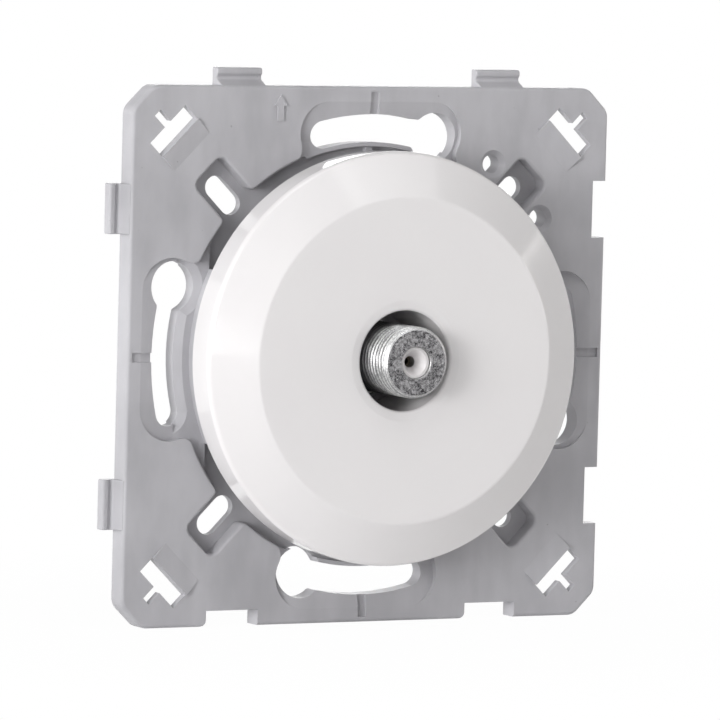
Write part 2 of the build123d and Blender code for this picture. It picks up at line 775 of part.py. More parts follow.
# Circuit board
with BuildPart() as circuit_board:
    with BuildSketch(at_depth(board_back)):
        RectangleRounded(cavity_width - 2 * fit_gap, cavity_height - 2 * fit_gap, housing_corner / 2)
        Circle(tail_r + hole_play, mode=Mode.SUBTRACT)
        with Locations((-peg_x, peg_z), (peg_x, -peg_z)):
            Circle(peg_r + hole_play, mode=Mode.SUBTRACT)
        with Locations((-part_x, capacitor_z)):
            with Locations((0, -lead_pitch / 2), (0, lead_pitch / 2)):
                Circle(lead_r + slip_gap, mode=Mode.SUBTRACT)
        with Locations((part_x, resistor_z - resistor_pitch / 2), (part_x, resistor_z + resistor_pitch / 2)):
            Circle(lead_r + slip_gap, mode=Mode.SUBTRACT)
    extrude(amount=board_thickness)
circuit_board.part.label = "circuit_board"


# Terminal for the inner conductor: a brass cage soldered to the board, open above and below
cage_front = board_back + seat_gap
cage_back = cage_front + terminal_wall + terminal_gap + terminal_roof
cage_z = terminal_foot + terminal_length / 2
with BuildPart() as terminal_cage:
    with BuildSketch(at_depth(cage_back)):
        with Locations((0, cage_z)):
            Rectangle(terminal_width, terminal_length)
    extrude(amount=cage_back - cage_front)
    with BuildSketch(at_depth(cage_back - terminal_roof)):
        with Locations((0, cage_z)):
            Rectangle(terminal_width - 2 * terminal_wall, terminal_length)
    extrude(amount=terminal_gap, mode=Mode.SUBTRACT)
    with BuildSketch(at_depth(cage_back)):
        with Locations((0, cage_z)):
            Circle(m25_r + slip_gap)
    extrude(amount=terminal_roof, mode=Mode.SUBTRACT)
terminal_cage.part.label = "terminal_cage"


# Pressure plate of the terminal, which the screw pushes on to the conductor
pressure_front = cage_front + terminal_wall + wire_space
pressure_back = pressure_front + plate_thickness
with BuildPart() as pressure_plate:
    with BuildSketch(at_depth(pressure_back)):
        with Locations((0, cage_z)):
            Rectangle(terminal_width - 2 * terminal_wall - 2 * fit_gap, terminal_length - 2 * plate_margin)
    extrude(amount=plate_thickness)
pressure_plate.part.label = "pressure_plate"


# Terminal screw: its tip bears on the pressure plate
terminal_seat = at_depth(cage_back + 2 * seat_gap).shift_origin((0, cage_back + 2 * seat_gap, cage_z))
tip_length = cage_back + 2 * seat_gap - pressure_back - slip_gap
terminal_screw = pan_screw(terminal_seat, -1, m25_r, m25_head_r, m25_head_height, tip_length)
terminal_screw.label = "terminal_screw"


# Ceramic capacitor: a lens-shaped disc on two leads
capacitor_axis = board_back + stand_off + capacitor_r
with BuildPart() as coupling_capacitor:
    with BuildSketch(Plane(origin=(-part_x, capacitor_axis, capacitor_z), z_dir=(1, 0, 0))):
        Circle(capacitor_r)
    extrude(amount=capacitor_thickness / 2, both=True)
    rims = coupling_capacitor.edges().filter_by(GeomType.CIRCLE)
    fillet(rims, capacitor_thickness / 2.5)
    with BuildSketch(at_depth(board_front - stand_off / 2)):
        with Locations((-part_x, capacitor_z - lead_pitch / 2), (-part_x, capacitor_z + lead_pitch / 2)):
            Circle(lead_r)
    extrude(amount=board_front - stand_off / 2 - capacitor_axis)
coupling_capacitor.part.label = "coupling_capacitor"


# Ferrite ring core lying on the board, and the wire wound through it
core_front = board_back + wire_r * 2 + 2 * seat_gap
core_back = core_front + core_thickness
with BuildPart() as ring_core:
    with BuildSketch(at_depth(core_back)):
        with Locations((-part_x, core_z)):
            Circle(core_r)
            Circle(core_hole_r, mode=Mode.SUBTRACT)
    extrude(amount=core_thickness)
    ring_edges = ring_core.edges().filter_by(GeomType.CIRCLE)
    fillet(ring_edges, core_thickness / 6)
ring_core.part.label = "ring_core"

wire_clear = wire_r + slip_gap
loop_width = core_r - core_hole_r + 2 * wire_clear
loop_depth = core_thickness + 2 * wire_clear
loop_centre = (core_r + core_hole_r) / 2
with BuildPart() as core_winding:
    for turn in range(turns):
        angle = radians(180 + turn_step * (turn - (turns - 1) / 2))
        outward = Vector(cos(angle), 0, sin(angle))
        middle = Vector(-part_x, (core_front + core_back) / 2, core_z) + outward * loop_centre
        with BuildSketch(Plane(origin=middle, x_dir=outward, z_dir=outward.cross(Vector(0, 1, 0)))):
            RectangleRounded(loop_width + 2 * wire_r, loop_depth + 2 * wire_r, 2 * wire_r)
            RectangleRounded(loop_width, loop_depth, wire_r, mode=Mode.SUBTRACT)
        extrude(amount=wire_r, both=True)
core_winding.part.label = "core_winding"


# Resistor lying along the board on two bent leads
resistor_axis = board_back + resistor_end_r + seat_gap
with BuildPart() as load_resistor:
    with BuildSketch(Plane(origin=(part_x, resistor_axis, resistor_z), z_dir=(0, 0, 1))):
        Circle(resistor_r)
    extrude(amount=resistor_length / 2, both=True)
    for side in (-1, 1):
        end = resistor_z + side * (resistor_length - resistor_end_r) / 2
        with BuildSketch(Plane(origin=(part_x, resistor_axis, end), z_dir=(0, 0, 1))):
            Circle(resistor_end_r)
        extrude(amount=resistor_end_r / 2, both=True)
        corner = resistor_z + side * resistor_pitch / 2
        with BuildLine():
            FilletPolyline((part_x, resistor_axis, resistor_z), (part_x, resistor_axis, corner),
                           (part_x, board_front - stand_off / 2, corner), radius=2 * lead_r)
        with BuildSketch(Plane(origin=(part_x, resistor_axis, resistor_z), z_dir=(0, 0, side))):
            Circle(lead_r)
        sweep()
load_resistor.part.label = "load_resistor"


# Choke: a small wound rod lying on the board
with BuildPart() as rod_choke:
    choke_axis = board_back + choke_r + seat_gap
    with BuildSketch(Plane(origin=(part_x, choke_axis, choke_z), z_dir=(0, 0, 1))):
        Circle(choke_r)
    extrude(amount=choke_length / 2, both=True)
    rod_ends = rod_choke.edges().filter_by(GeomType.CIRCLE)
    fillet(rod_ends, choke_r / 3)
rod_choke.part.label = "rod_choke"


# Shield lid: closes the back of the housing and swings up on its hinge
lid_half_width = housing_width / 2 + fit_gap + lid_thickness
lid_bottom = housing_bottom - fit_gap - lid_thickness
with BuildPart() as shield_lid:
    with BuildSketch(at_depth(lid_back)):
        with Locations((0, (lid_bottom + housing_height / 2) / 2)):
            Rectangle(2 * lid_half_width, housing_height / 2 - lid_bottom)
    extrude(amount=lid_thickness)
    with BuildSketch(at_depth(lid_back)):
        flange_height = housing_height - housing_corner
        with Locations((lid_half_width - lid_thickness / 2, 0), (lid_thickness / 2 - lid_half_width, 0)):
            Rectangle(lid_thickness, flange_height)
        catch_width = cavity_width / 2 - cable_r - housing_wall
        catch_x = cable_r + housing_wall + catch_width / 2
        with Locations((catch_x, lid_bottom + lid_thickness / 2), (-catch_x, lid_bottom + lid_thickness / 2)):
            Rectangle(catch_width, lid_thickness)
    extrude(amount=lid_thickness + lid_flange)
    for side in (-1, 1):
        with BuildSketch(across(side * (lug_inner - knuckle_gap - knuckle_width / 2))):
            with BuildLine():
                Polyline((lid_back, housing_height / 2 - lid_thickness), (lid_back, hinge_z),
                         (hinge_y, hinge_z), (lid_front, housing_height / 2 + fit_gap),
                         (lid_front, housing_height / 2 - lid_thickness), close=True)
            make_face()
            with Locations((hinge_y, hinge_z)):
                Circle(knuckle_r)
        extrude(amount=knuckle_width / 2, both=True)
    with BuildSketch(across(0)):
        with Locations((hinge_y, hinge_z)):
            Circle(hinge_pin_r + slip_gap)
    extrude(amount=housing_width / 2, both=True, mode=Mode.SUBTRACT)
shield_lid.part.label = "shield_lid"


# Hinge pin
with BuildPart() as hinge_pin:
    with BuildSketch(across(0)):
        with Locations((hinge_y, hinge_z)):
            Circle(hinge_pin_r)
    extrude(amount=lug_inner + lug_width, both=True)
hinge_pin.part.label = "hinge_pin"


# Cable saddle: an arched strap that presses the cable into the trough
with BuildPart() as cable_saddle:
    with BuildSketch(level(saddle_z)):
        with Locations((0, saddle_seat + saddle_thickness / 2)):
            Rectangle(trough_width, saddle_thickness)
        with Locations((0, cable_axis)):
            Circle(cable_r + saddle_thickness)
            Circle(cable_r, mode=Mode.SUBTRACT)
        with Locations((0, saddle_seat - cable_r)):
            Rectangle(trough_width, 2 * cable_r, mode=Mode.SUBTRACT)
    extrude(amount=saddle_length / 2, both=True)
    with BuildSketch(at_depth(saddle_seat + saddle_thickness)):
        with Locations((-saddle_screw_x, saddle_z), (saddle_screw_x, saddle_z)):
            Circle(m25_r + hole_play)
    extrude(amount=saddle_thickness, mode=Mode.SUBTRACT)
cable_saddle.part.label = "cable_saddle"


# Saddle screws: heads on the ears of the saddle, threaded into the trough
def saddle_screw(x):
    """One of the two screws of the saddle, at this place across it."""
    seat_y = saddle_seat + saddle_thickness + seat_gap
    seat = at_depth(seat_y).shift_origin((x, seat_y, saddle_z))
    return pan_screw(seat, -1, m25_r, m25_head_r, m25_head_height, saddle_screw_length)


saddle_screw_left = saddle_screw(-saddle_screw_x)
saddle_screw_left.label = "saddle_screw_left"
saddle_screw_right = saddle_screw(saddle_screw_x)
saddle_screw_right.label = "saddle_screw_right"


pieces = [
    support_frame.part, cover.part, jack_housing.part, insulator.part, centre_contact.part,
    housing_screws.part, circuit_board.part, terminal_cage.part, pressure_plate.part, terminal_screw,
    coupling_capacitor.part, ring_core.part, core_winding.part, load_resistor.part, rod_choke.part,
    shield_lid.part, hinge_pin.part, cable_saddle.part, saddle_screw_left, saddle_screw_right,
]
for piece in pieces:
    export_step(piece, f"parts/{piece.label}.step")
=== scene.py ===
# %% [markdown]
# # An aerial socket on its mounting plate
#
# The object is a flush wall outlet for an aerial lead: a square grey mounting plate, a round white
# cover and a threaded metal jack in the middle, with a die-cast box behind the plate. The solids come
# ready-made from the packed frame, at their real size. This notebook gives them their finishes, cuts
# the fine thread that the solids leave plain, winds the small coil, and sets up the camera and lamps.
# Everything is in metres. X runs to the right, Z up, and minus Y points out of the wall at the viewer.

# %% Load the frame
import json
from math import cos, pi, radians, sin

import bpy
import numpy as np
from mathutils import Matrix, Vector


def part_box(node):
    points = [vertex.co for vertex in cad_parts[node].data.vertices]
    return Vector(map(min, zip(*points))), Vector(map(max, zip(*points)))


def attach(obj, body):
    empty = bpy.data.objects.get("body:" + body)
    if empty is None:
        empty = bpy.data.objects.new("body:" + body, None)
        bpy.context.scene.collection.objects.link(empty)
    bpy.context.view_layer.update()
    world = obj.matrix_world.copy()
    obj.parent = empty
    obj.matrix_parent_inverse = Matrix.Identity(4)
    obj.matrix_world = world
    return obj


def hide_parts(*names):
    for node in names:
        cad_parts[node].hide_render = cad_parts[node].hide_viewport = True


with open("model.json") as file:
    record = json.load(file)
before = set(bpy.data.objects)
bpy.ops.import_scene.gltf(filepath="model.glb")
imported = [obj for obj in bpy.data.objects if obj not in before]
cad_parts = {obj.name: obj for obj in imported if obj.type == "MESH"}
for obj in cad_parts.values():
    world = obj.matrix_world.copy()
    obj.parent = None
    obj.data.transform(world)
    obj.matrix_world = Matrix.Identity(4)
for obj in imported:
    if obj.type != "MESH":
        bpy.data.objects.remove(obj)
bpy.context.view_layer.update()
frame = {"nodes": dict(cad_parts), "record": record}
print("nodes:", len(frame["nodes"]))


# %% [markdown]
# ## Measures read from the frame
#
# A length that the solids already have is never typed a second time. Each node's box gives the few
# measures that the pieces below need, so they follow the solids if a size changes. Radii come from the
# meshes: the jack's axis is the Y axis itself, so a point's radius is its distance from that axis.

# %% Measures of the solids
MM = 0.001
plate_low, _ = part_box("support_frame")
cover_low, cover_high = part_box("cover")
core_low, core_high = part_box("ring_core")
winding_low, winding_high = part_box("core_winding")
housing_low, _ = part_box("jack_housing")
barrel_end = housing_low.y
print("cover diameter, mm:", round((cover_high.x - cover_low.x) / MM, 2))
print("end of the jack, mm:", round(barrel_end / MM, 2))


# %% Round measures, from the meshes themselves
def mesh_arrays(solid):
    """Points and triangles of a solid, with equal points merged, and each point's radius."""
    mesh = solid.data
    mesh.calc_loop_triangles()
    points = np.empty(len(mesh.vertices) * 3)
    mesh.vertices.foreach_get("co", points)
    corners = np.empty(len(mesh.loop_triangles) * 3, dtype=np.int32)
    mesh.loop_triangles.foreach_get("vertices", corners)
    merged, place = np.unique(points.reshape(-1, 3).round(7), axis=0, return_inverse=True)
    triangles = place.ravel()[corners].reshape(-1, 3)
    whole = (triangles != np.roll(triangles, 1, axis=1)).all(axis=1)
    return merged, triangles[whole], np.hypot(merged[:, 0], merged[:, 2])


slack = 0.01 * MM         # two measures this close count as the same
plain_barrel = 2 * MM     # a stretch behind the jack's end that is certainly barrel and not box
housing_points, housing_triangles, housing_radius = mesh_arrays(frame["nodes"]["jack_housing"])
on_end = housing_points[:, 1] < barrel_end + slack
bore_r, rim_r = housing_radius[on_end].min(), housing_radius[on_end].max()
barrel_r = housing_radius[housing_points[:, 1] < barrel_end + plain_barrel].max()
root_y = housing_points[housing_radius > barrel_r + slack, 1].min()
barrel_sizes = (barrel_r, bore_r, rim_r, root_y - barrel_end)
print("barrel radius, bore, rim and length, mm:", [round(size / MM, 2) for size in barrel_sizes])

insulator_points, _, insulator_radius = mesh_arrays(frame["nodes"]["insulator"])
pin_hole_r = insulator_radius.min()
pin_hole_front = insulator_points[insulator_radius < pin_hole_r + slack, 1].min()
print("pin hole radius and front, mm:", round(pin_hole_r / MM, 2), round(pin_hole_front / MM, 2))


# %% [markdown]
# ## The camera
#
# The picture looks at the plate from its left and a little from above, from about a metre away
# through a long lens, so the verticals hardly converge. The angles were found by matching the plate's
# corners and the circles of the cover. Blender's camera looks along its own minus Z axis, so the
# matrix is built from three directions: right, up, and back towards the viewer. The small roll is
# that of the picture, in which the plate leans slightly.

# %% Camera
view_yaw = radians(27.93)
view_elevation = radians(4.22)
view_roll = radians(1.52)
view_distance = 0.909
view_target = Vector((-1.28 * MM, -3.0 * MM, -0.64 * MM))
lens_in_frame_widths = 9.552

away = cos(view_elevation)
back = Vector((-sin(view_yaw) * away, -cos(view_yaw) * away, sin(view_elevation)))
level_right = (-back).cross(Vector((0, 0, 1))).normalized()
level_up = level_right.cross(-back)
right = cos(view_roll) * level_right + sin(view_roll) * level_up
up = cos(view_roll) * level_up - sin(view_roll) * level_right

camera_data = bpy.data.cameras.new("camera")
camera_data.sensor_width = 36.0
camera_data.lens = lens_in_frame_widths * camera_data.sensor_width
camera_data.clip_start = 0.05
camera = bpy.data.objects.new("camera", camera_data)
turn = Matrix((right, up, back)).transposed().to_4x4()
camera.matrix_world = Matrix.Translation(view_target + view_distance * back) @ turn
bpy.context.scene.collection.objects.link(camera)
bpy.context.scene.camera = camera
bpy.context.scene.view_settings.view_transform = "Standard"
print("camera at, mm:", [round(v / MM, 1) for v in camera.location])


# %% [markdown]
# ## Shader maths written as Python
#
# A procedural finish is a small formula: noise here, a mask there, one colour blended into another.
# Nodes wired by hand hide that formula. So one small class wraps an output socket and lets Python's
# own operators add the Math nodes, with the reflected forms so that `1 - mask` works too. A second
# class holds a node tree and makes every other kind of node, for the world as well as for materials,
# and a third adds what a material needs.

# %% A socket that understands arithmetic
def plug(tree, slot, value):
    """Feeds an input with another node's output, or sets it to a plain value."""
    if isinstance(value, Wire):
        tree.links.new(value.socket, slot)
    else:
        slot.default_value = value


class Wire:
    """An output socket with a number in it. Arithmetic on it adds Math nodes to its tree."""

    def __init__(self, tree, socket):
        self.tree = tree
        self.socket = socket

    def math(self, operation, *values):
        node = self.tree.nodes.new("ShaderNodeMath")
        node.operation = operation
        for slot, value in zip(node.inputs, values):
            plug(self.tree, slot, value)
        return Wire(self.tree, node.outputs[0])

    def __add__(self, other):
        return self.math("ADD", self, other)

    def __sub__(self, other):
        return self.math("SUBTRACT", self, other)

    def __rsub__(self, other):
        return self.math("SUBTRACT", other, self)

    def __mul__(self, other):
        return self.math("MULTIPLY", self, other)

    def __truediv__(self, other):
        return self.math("DIVIDE", self, other)

    def __pow__(self, other):
        return self.math("POWER", self, other)

    def __abs__(self):
        return self.math("ABSOLUTE", self)

    def capped(self, most):
        """This number, or the other where this one is larger."""
        return self.math("MINIMUM", self, most)

    __radd__ = __add__
    __rmul__ = __mul__


print("operators ready:", [name for name in vars(Wire) if name.startswith("__r")])


# %% A tree that makes any node, and a material built on it
class Nodes:
    """A node tree with one method that adds any kind of node."""

    def __init__(self, tree):
        self.tree = tree

    def node(self, kind, settings=(), inputs=(), out=0):
        """Adds a node, sets its settings first and then its sockets, and returns one output. A socket is
        given by its name, or by its number where two have the same name."""
        node = self.tree.nodes.new(kind)
        for name, value in dict(settings).items():
            setattr(node, name, value)
        for socket, value in dict(inputs).items():
            plug(self.tree, node.inputs[socket], value)
        return Wire(self.tree, node.outputs[out])

    def ray(self, kind):
        """1 for a ray of this kind and 0 for others: Camera, Glossy or Transmission."""
        return self.node("ShaderNodeLightPath", out=f"Is {kind} Ray")


class Finish(Nodes):
    """A material round one Principled shader, with helpers for the patterns that drive it."""

    def __init__(self, name):
        self.material = bpy.data.materials.new(name)
        self.material.use_nodes = True
        super().__init__(self.material.node_tree)
        self.shader = self.tree.nodes["Principled BSDF"]
        self.place = self.node("ShaderNodeTexCoord", out="Object")

    def stretch(self, scale):
        """The place on the object, scaled by three factors, so that a pattern can run one way."""
        return self.node("ShaderNodeMapping", inputs={"Vector": self.place, "Scale": scale})

    def along(self, letter):
        """The distance along one axis, X, Y or Z, in metres."""
        return self.node("ShaderNodeSeparateXYZ", inputs={"Vector": self.place}, out=letter)

    def radius(self):
        """The distance from the jack's axis, which is the Y axis."""
        return (self.along("X") ** 2 + self.along("Z") ** 2) ** 0.5

    def rings(self, radius, size):
        """Noise that depends on the distance from the axis alone, so it draws rings this far apart."""
        inputs = {"W": radius, "Scale": 1 / size, "Detail": 3.0}
        return self.node("ShaderNodeTexNoise", {"noise_dimensions": "1D"}, inputs)

    def noise(self, size, detail=2.0, rough=0.5, place=None):
        """Cloudy noise from 0 to 1 whose blobs are about this size in metres."""
        inputs = {"Vector": place or self.place, "Scale": 1 / size, "Detail": detail, "Roughness": rough}
        return self.node("ShaderNodeTexNoise", inputs=inputs)

    def band(self, value, low, high):
        """0 below low, 1 above high, and a smooth step between them."""
        settings = {"interpolation_type": "SMOOTHSTEP", "clamp": True}
        return self.node("ShaderNodeMapRange", settings, {"Value": value, "From Min": low, "From Max": high})

    def blend(self, mask, dark, light):
        """A colour between two others, chosen by the mask. The Mix node's colours are its sockets 6 and 7."""
        return self.node("ShaderNodeMix", {"data_type": "RGBA"}, {0: mask, 6: dark, 7: light}, out=2)

    def relief(self, height, depth, strength=1.0):
        """Bumps on the surface: height 1 stands this far above height 0."""
        inputs = {"Height": height, "Distance": depth, "Strength": strength}
        return self.node("ShaderNodeBump", inputs=inputs, out="Normal")

    def shade(self, **sockets):
        """Feeds the Principled shader; base_color stands for its Base Color socket, and so on."""
        for name, value in sockets.items():
            title = name.replace("_", " ").title().replace("Ior", "IOR")
            plug(self.tree, self.shader.inputs[title], value)
        return self.material


def tone(red, green, blue):
    """A colour given as 0-255 screen values, turned into the linear values that shaders use."""
    screen = np.array((red, green, blue)) / 255
    linear = np.where(screen <= 0.04045, screen / 12.92, ((screen + 0.055) / 1.055) ** 2.4)
    return (*[float(c) for c in linear], 1.0)


print("mid grey on screen is linear", round(tone(128, 128, 128)[0], 3))


# %% [markdown]
# ## Moulded plastics
#
# The plate is a light grey engineering plastic with a satin surface: the mould's fine spark texture
# breaks up the reflections, the colour drifts a little where the melt flowed, and there are a few
# tiny dark specks. The cover is a glossy white plastic, nearly mirror smooth, with the faint
# orange-peel waviness of a polished mould. Both are one Principled shader whose colour, roughness and
# relief come from noise on the object's own coordinates, so the pattern is as large on every copy.

# %% Grey plate plastic
def make_plate_plastic():
    """Satin grey with a slow drift of tone, faint flow streaks, fine grain and rare specks."""
    skin = Finish("plate_plastic")
    drift = skin.noise(14 * MM, detail=3.0)
    streaks = skin.noise(9 * MM, detail=4.0, place=skin.stretch((3.0, 1.0, 1.0)))
    grain = skin.noise(0.16 * MM, detail=2.0)
    speck = skin.band(skin.noise(0.9 * MM, detail=1.0), 0.80, 0.84)
    patches = skin.band(drift * 0.6 + streaks * 0.4, 0.32, 0.68)
    cloudy = skin.blend(patches, tone(171, 170, 174), tone(188, 187, 191))
    colour = skin.blend(speck * 0.5, cloudy, tone(120, 118, 120))
    return skin.shade(
        base_color=colour,
        roughness=0.42 + grain * 0.12 + streaks * 0.06,
        normal=skin.relief(grain + drift * 0.5, 0.004 * MM),
    )


plate_plastic = make_plate_plastic()
print("made", plate_plastic.name)


# %% White cover plastic
def make_cover_plastic():
    """Glossy white with a barely visible waviness and slightly duller patches."""
    skin = Finish("cover_plastic")
    peel = skin.noise(1.6 * MM, detail=1.0)
    patches = skin.noise(11 * MM, detail=3.0)
    return skin.shade(
        base_color=skin.blend(patches, tone(238, 235, 236), tone(241, 239, 239)),
        roughness=0.07 + patches * 0.05,
        normal=skin.relief(peel, 0.0015 * MM),
    )


cover_plastic = make_cover_plastic()
print("made", cover_plastic.name)


# %% Milky insulator plastic
def make_insulator_plastic():
    """White and waxy. The wall of the pin hole is painted grey as shade, the shade deep in the narrow
    hole: the mask is 1 within the hole's radius and behind the hole's front edge."""
    skin = Finish("insulator_plastic")
    wax = skin.noise(0.7 * MM, detail=2.0)
    waxy = skin.blend(wax, tone(215, 212, 212), tone(231, 228, 229))
    within = 1 - skin.band(skin.radius(), pin_hole_r + 0.01 * MM, pin_hole_r + 0.04 * MM)
    # painted shade: the wall of the pin hole, behind its front edge, is coloured grey for the shade in the
    # hole
    thread_lines_and_hole_shade = within * skin.band(skin.along("Y"), pin_hole_front + 0.01 * MM, pin_hole_front + 0.08 * MM)
    return skin.shade(
        base_color=skin.blend(thread_lines_and_hole_shade, waxy, tone(122, 120, 119)),
        roughness=0.34 + wax * 0.1,
        normal=skin.relief(wax, 0.006 * MM),
    )


insulator_plastic = make_insulator_plastic()
print("made", insulator_plastic.name)


# %% [markdown]
# ## Metals
#
# Each metal is a Principled shader with its metallic value at 1, told apart by colour and by how the
# light scatters. The die casting is grainy, like fine sand, because the mould's skin is. Zinc plating
# on the screws is smoother with a cold tint, the lid is rolled sheet with brushed lines along its
# length, and turned brass keeps the rings of the cutting tool.

# %% Die-cast zinc
def make_cast_metal():
    """Bright sandy casting. Two masks on Y treat the jack. In front of its root run fine lines round
    the barrel, and from 4.5 to 7.5 mm behind the end the colour darkens into a painted shadow, the
    shade of the cover's hole on the barrel. Its end face is struck flat: dark grains with a few
    sparkles, faint rings and a lighter ring next to the bore."""
    skin = Finish("cast_metal")
    depth = skin.along("Y")
    sand = skin.noise(0.22 * MM, detail=3.0, rough=0.7)
    clouds = skin.noise(2.4 * MM, detail=3.0)
    grain = skin.band(sand, 0.34, 0.66)
    casting = skin.blend(grain * 0.5 + clouds * 0.5, tone(138, 138, 140), tone(216, 216, 215))

    lines = skin.band(skin.rings(depth, 0.13 * MM) * 0.7 + sand * 0.3, 0.42, 0.62)
    thread_lines_and_hole_shade = skin.blend(lines * 0.6 + grain * 0.4, tone(122, 122, 124), tone(204, 204, 203))
    # painted shadow: 4.5 to 7.5 mm behind the end the barrel turns dark grey, the shade cast by the edge of
    # the cover's hole
    painted_barrel_shadow = skin.band(depth, barrel_end + 4.5 * MM, barrel_end + 7.5 * MM)
    barrel = skin.blend(painted_barrel_shadow, thread_lines_and_hole_shade, tone(98, 98, 100))

    radius = skin.radius()
    pits = skin.noise(0.40 * MM, detail=5.0, rough=0.85)
    broken = skin.noise(1.1 * MM, detail=2.0)
    scratch = skin.band(skin.rings(radius, 0.09 * MM), 0.52, 0.60) * skin.band(broken, 0.45, 0.60)
    polish = 1 - skin.band(radius, bore_r + 0.10 * MM, bore_r + 0.45 * MM)
    uneven = skin.band(pits * 0.84 + broken * 0.16, 0.40, 0.60)
    dull = skin.blend(uneven, tone(44, 43, 45), tone(156, 155, 157))
    dull = skin.blend(scratch * 0.6 + polish * 0.2, dull, tone(172, 171, 172))
    dull = skin.blend(skin.band(pits, 0.60, 0.68), dull, tone(215, 214, 215))

    in_front = 1 - skin.band(depth, root_y - 0.2 * MM, root_y)
    face = 1 - skin.band(depth, barrel_end + 0.02 * MM, barrel_end + 0.06 * MM)
    return skin.shade(
        base_color=skin.blend(face, skin.blend(in_front, casting, barrel), dull),
        metallic=1.0,
        roughness=0.30 + grain * 0.12 + clouds * 0.1,
        normal=skin.relief(sand * 0.5 + pits * face, 0.04 * MM),
    )


cast_metal = make_cast_metal()
print("made", cast_metal.name)


# %% Plated steel, sheet steel, brass and bronze
def make_plain_metal(name, dark, light, size, low, span, stretch):
    """A metal whose tone and roughness follow one noise, stretched along the way it was worked: two
    colours, the size of its marks, the least roughness, and how far that rises."""
    skin = Finish(name)
    marks = skin.noise(size, detail=4.0, rough=0.6, place=skin.stretch(stretch))
    return skin.shade(
        base_color=skin.blend(marks, dark, light),
        metallic=1.0,
        roughness=low + marks * span,
        normal=skin.relief(marks, 0.01 * MM),
    )


evenly = (1.0, 1.0, 1.0)
plain_metals = {
    "plated_steel": (tone(176, 180, 184), tone(216, 219, 222), 0.5 * MM, 0.24, 0.16, evenly),
    "lid_steel": (tone(154, 154, 152), tone(190, 190, 188), 2.0 * MM, 0.48, 0.14, (0.15, 1.0, 6.0)),
    "brass": (tone(176, 140, 72), tone(222, 190, 116), 0.5 * MM, 0.22, 0.16, (1.0, 5.0, 1.0)),
    "contact_bronze": (tone(96, 88, 78), tone(140, 130, 114), 0.4 * MM, 0.3, 0.2, evenly),
    "wire_enamel": (tone(150, 74, 40), tone(196, 108, 62), 0.6 * MM, 0.2, 0.12, evenly),
}
plain_metals = {name: make_plain_metal(name, *look) for name, look in plain_metals.items()}
print("metals:", sorted(plain_metals))


# %% [markdown]
# ## The parts on the circuit board
#
# Behind the lid sits a small green board with a clamp for the cable and four loose components. They
# are only seen with the lid open, yet each has the finish of the real thing: woven glass under green
# lacquer, a dull ceramic disc, sintered ferrite, and a lacquered resistor with coloured rings.

# %% Board, ceramic, ferrite and sleeve
def make_board_laminate():
    """Green lacquer over a glass weave: the average of two crossing waves of fine bands."""
    skin = Finish("board_laminate")
    waves = []
    for axis in ("X", "Z"):
        settings = {"wave_type": "BANDS", "bands_direction": axis}
        waves.append(skin.node("ShaderNodeTexWave", settings, {"Vector": skin.place, "Scale": 600.0}))
    weave = (waves[0] + waves[1]) * 0.5
    cloud = skin.noise(3 * MM, detail=3.0)
    return skin.shade(
        base_color=skin.blend(weave * 0.4 + cloud * 0.6, tone(28, 84, 44), tone(52, 120, 66)),
        roughness=0.28 + cloud * 0.14,
        normal=skin.relief(weave, 0.01 * MM),
    )


def make_dull_coat(name, dark, light, size, low):
    """A dull coat of ceramic, ferrite or rubber: one noise for its tone, its roughness and its relief."""
    skin = Finish(name)
    coat = skin.noise(size, detail=4.0, rough=0.6)
    return skin.shade(
        base_color=skin.blend(coat, dark, light),
        roughness=low + coat * 0.15,
        normal=skin.relief(coat, 0.02 * MM),
    )


board_laminate = make_board_laminate()
dull_coats = {
    "capacitor_coat": (tone(186, 108, 40), tone(212, 136, 62), 0.8 * MM, 0.45),
    "ferrite": (tone(48, 48, 52), tone(78, 78, 82), 0.3 * MM, 0.55),
    "choke_sleeve": (tone(30, 30, 32), tone(48, 48, 52), 0.7 * MM, 0.4),
}
dull_coats = {name: make_dull_coat(name, *look) for name, look in dull_coats.items()}
print("coats:", sorted(dull_coats))


# %% Resistor with its rings
def make_resistor_coat():
    """Beige lacquer with four coloured rings. A ring is where the height is within its half width of
    its middle, which is given as an offset from the resistor's own middle."""
    skin = Finish("resistor_coat")
    low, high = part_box("load_resistor")
    middle = (low.z + high.z) / 2
    height = skin.along("Z")
    colour = skin.blend(skin.noise(0.6 * MM), tone(198, 176, 136), tone(214, 194, 156))
    brown, black, red, gold = tone(92, 54, 30), tone(30, 28, 28), tone(176, 52, 36), tone(186, 148, 62)
    rings = {-1.05: brown, -0.4: black, 0.25: red, 1.1: gold}
    for offset, paint in rings.items():
        from_ring = abs(height - (middle + offset * MM))
        colour = skin.blend(1 - skin.band(from_ring, 0.14 * MM, 0.2 * MM), colour, paint)
    return skin.shade(base_color=colour, roughness=0.32)


resistor_coat = make_resistor_coat()
print("made", resistor_coat.name)


# %% [markdown]
# ## Putting the finishes on the solids
#
# A solid from the frame keeps its mesh and its place. Only its material slot changes, so the looks can
# never drift away from the construction. The record names a slot for every node, which is the list
# that this cell follows.

# %% Dress the solids
finishes = {
    "frame_plastic": plate_plastic,
    "cover_plastic": cover_plastic,
    "insulator_plastic": insulator_plastic,
    "cast_metal": cast_metal,
    "board_laminate": board_laminate,
    "resistor_coat": resistor_coat,
    **plain_metals,
    **dull_coats,
}
slot_of = {part["node"]: part["material_slot"] for part in frame["record"]["subparts"]}
for name, solid in frame["nodes"].items():
    solid.data.materials.clear()
    solid.data.materials.append(finishes[slot_of[name]])
print("dressed", len(slot_of), "solids in", len(set(slot_of.values())), "finishes")


# %% [markdown]
# ## Surfaces from grids
#
# The two pieces below are worked out as grids of points: rows run along the piece and columns run round
# it. A grid is only a formula for where the point (row, column) lies, so a thread or a coil takes a few
# lines, and its fineness is a pair of numbers. Joining each point to its neighbours gives the faces.

